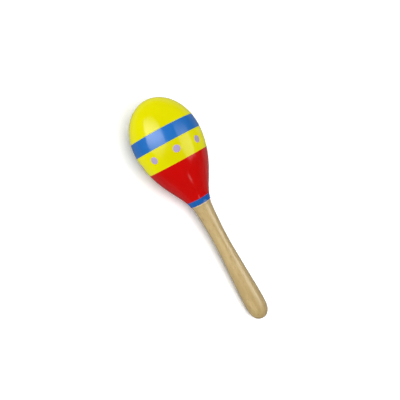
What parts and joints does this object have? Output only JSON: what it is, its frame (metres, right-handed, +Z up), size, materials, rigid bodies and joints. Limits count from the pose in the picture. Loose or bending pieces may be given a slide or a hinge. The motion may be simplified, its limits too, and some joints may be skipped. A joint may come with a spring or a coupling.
{
  "type": "maraca",
  "caption": "Small wooden shaker with a hollow egg-shaped head painted in bright bands, loose pellets inside and a slim turned handle, lying on its side.",
  "frame": {"origin": "bottom centre of the bounding box of the maraca as it lies on a flat surface, touching it with its head and the butt of its handle", "axes": "+X from the butt of the handle toward the head, +Z up; the maraca's own axis rises toward the head by about 7.4 degrees"},
  "size_m": [0.1986, 0.0558, 0.0562],
  "materials": {
    "yellow_paint": "glossy enamel paint on wood, lemon yellow",
    "blue_paint": "glossy enamel paint on wood, mid blue",
    "dark_blue_paint": "glossy enamel paint on wood, slightly deeper blue",
    "red_paint": "glossy enamel paint on wood, bright red",
    "lilac_paint": "glossy paint dabbed on by hand, pale lilac",
    "lacquered_wood": "clear lacquer over pale close-grained wood",
    "bare_wood_inside": "bare turned wood",
    "pellet_plastic": "plain hard beads"
  },
  "bodies": {
    "maraca": {"head_upper_shell": "bare_wood_inside", "head_lower_shell": "bare_wood_inside", "handle": "lacquered_wood", "coat_yellow_dome": "yellow_paint", "coat_blue_band": "blue_paint", "coat_yellow_band": "yellow_paint", "coat_red_cone": "red_paint", "coat_blue_neck_ring": "dark_blue_paint", "lilac_dots": "lilac_paint"},
    "pellet_01": {"pellet_01": "pellet_plastic"},
    "pellet_02": {"pellet_02": "pellet_plastic"},
    "pellet_03": {"pellet_03": "pellet_plastic"},
    "pellet_04": {"pellet_04": "pellet_plastic"},
    "pellet_05": {"pellet_05": "pellet_plastic"},
    "pellet_06": {"pellet_06": "pellet_plastic"},
    "pellet_07": {"pellet_07": "pellet_plastic"},
    "pellet_08": {"pellet_08": "pellet_plastic"},
    "pellet_09": {"pellet_09": "pellet_plastic"},
    "pellet_10": {"pellet_10": "pellet_plastic"},
    "pellet_11": {"pellet_11": "pellet_plastic"},
    "pellet_12": {"pellet_12": "pellet_plastic"},
    "pellet_13": {"pellet_13": "pellet_plastic"},
    "pellet_14": {"pellet_14": "pellet_plastic"},
    "pellet_15": {"pellet_15": "pellet_plastic"},
    "pellet_16": {"pellet_16": "pellet_plastic"},
    "pellet_17": {"pellet_17": "pellet_plastic"},
    "pellet_18": {"pellet_18": "pellet_plastic"},
    "pellet_19": {"pellet_19": "pellet_plastic"},
    "pellet_20": {"pellet_20": "pellet_plastic"},
    "pellet_21": {"pellet_21": "pellet_plastic"},
    "pellet_22": {"pellet_22": "pellet_plastic"},
    "pellet_23": {"pellet_23": "pellet_plastic"},
    "pellet_24": {"pellet_24": "pellet_plastic"}
  },
  "joints": [
    {"name": "pellet_01_fly", "type": "slide", "parent": "maraca", "child": "pellet_01", "axis": [0, 0, 1], "range_m": [0, 0.0357]},
    {"name": "pellet_02_fly", "type": "slide", "parent": "maraca", "child": "pellet_02", "axis": [0, 0, 1], "range_m": [0, 0.0373]},
    {"name": "pellet_03_fly", "type": "slide", "parent": "maraca", "child": "pellet_03", "axis": [0, 0, 1], "range_m": [0, 0.0381]},
    {"name": "pellet_04_fly", "type": "slide", "parent": "maraca", "child": "pellet_04", "axis": [0, 0, 1], "range_m": [0, 0.0379]},
    {"name": "pellet_05_fly", "type": "slide", "parent": "maraca", "child": "pellet_05", "axis": [0, 0, 1], "range_m": [0, 0.0375]},
    {"name": "pellet_06_fly", "type": "slide", "parent": "maraca", "child": "pellet_06", "axis": [0, 0, 1], "range_m": [0, 0.0395]},
    {"name": "pellet_07_fly", "type": "slide", "parent": "maraca", "child": "pellet_07", "axis": [0, 0, 1], "range_m": [0, 0.0406]},
    {"name": "pellet_08_fly", "type": "slide", "parent": "maraca", "child": "pellet_08", "axis": [0, 0, 1], "range_m": [0, 0.0409]},
    {"name": "pellet_09_fly", "type": "slide", "parent": "maraca", "child": "pellet_09", "axis": [0, 0, 1], "range_m": [0, 0.0401]},
    {"name": "pellet_10_fly", "type": "slide", "parent": "maraca", "child": "pellet_10", "axis": [0, 0, 1], "range_m": [0, 0.0372]},
    {"name": "pellet_11_fly", "type": "slide", "parent": "maraca", "child": "pellet_11", "axis": [0, 0, 1], "range_m": [0, 0.0395]},
    {"name": "pellet_12_fly", "type": "slide", "parent": "maraca", "child": "pellet_12", "axis": [0, 0, 1], "range_m": [0, 0.041]},
    {"name": "pellet_13_fly", "type": "slide", "parent": "maraca", "child": "pellet_13", "axis": [0, 0, 1], "range_m": [0, 0.0417]},
    {"name": "pellet_14_fly", "type": "slide", "parent": "maraca", "child": "pellet_14", "axis": [0, 0, 1], "range_m": [0, 0.0415]},
    {"name": "pellet_15_fly", "type": "slide", "parent": "maraca", "child": "pellet_15", "axis": [0, 0, 1], "range_m": [0, 0.0401]},
    {"name": "pellet_16_fly", "type": "slide", "parent": "maraca", "child": "pellet_16", "axis": [0, 0, 1], "range_m": [0, 0.0375]},
    {"name": "pellet_17_fly", "type": "slide", "parent": "maraca", "child": "pellet_17", "axis": [0, 0, 1], "range_m": [0, 0.0395]},
    {"name": "pellet_18_fly", "type": "slide", "parent": "maraca", "child": "pellet_18", "axis": [0, 0, 1], "range_m": [0, 0.0406]},
    {"name": "pellet_19_fly", "type": "slide", "parent": "maraca", "child": "pellet_19", "axis": [0, 0, 1], "range_m": [0, 0.0409]},
    {"name": "pellet_20_fly", "type": "slide", "parent": "maraca", "child": "pellet_20", "axis": [0, 0, 1], "range_m": [0, 0.0401]},
    {"name": "pellet_21_fly", "type": "slide", "parent": "maraca", "child": "pellet_21", "axis": [0, 0, 1], "range_m": [0, 0.0357]},
    {"name": "pellet_22_fly", "type": "slide", "parent": "maraca", "child": "pellet_22", "axis": [0, 0, 1], "range_m": [0, 0.0373]},
    {"name": "pellet_23_fly", "type": "slide", "parent": "maraca", "child": "pellet_23", "axis": [0, 0, 1], "range_m": [0, 0.0381]},
    {"name": "pellet_24_fly", "type": "slide", "parent": "maraca", "child": "pellet_24", "axis": [0, 0, 1], "range_m": [0, 0.0379]}
  ]
}
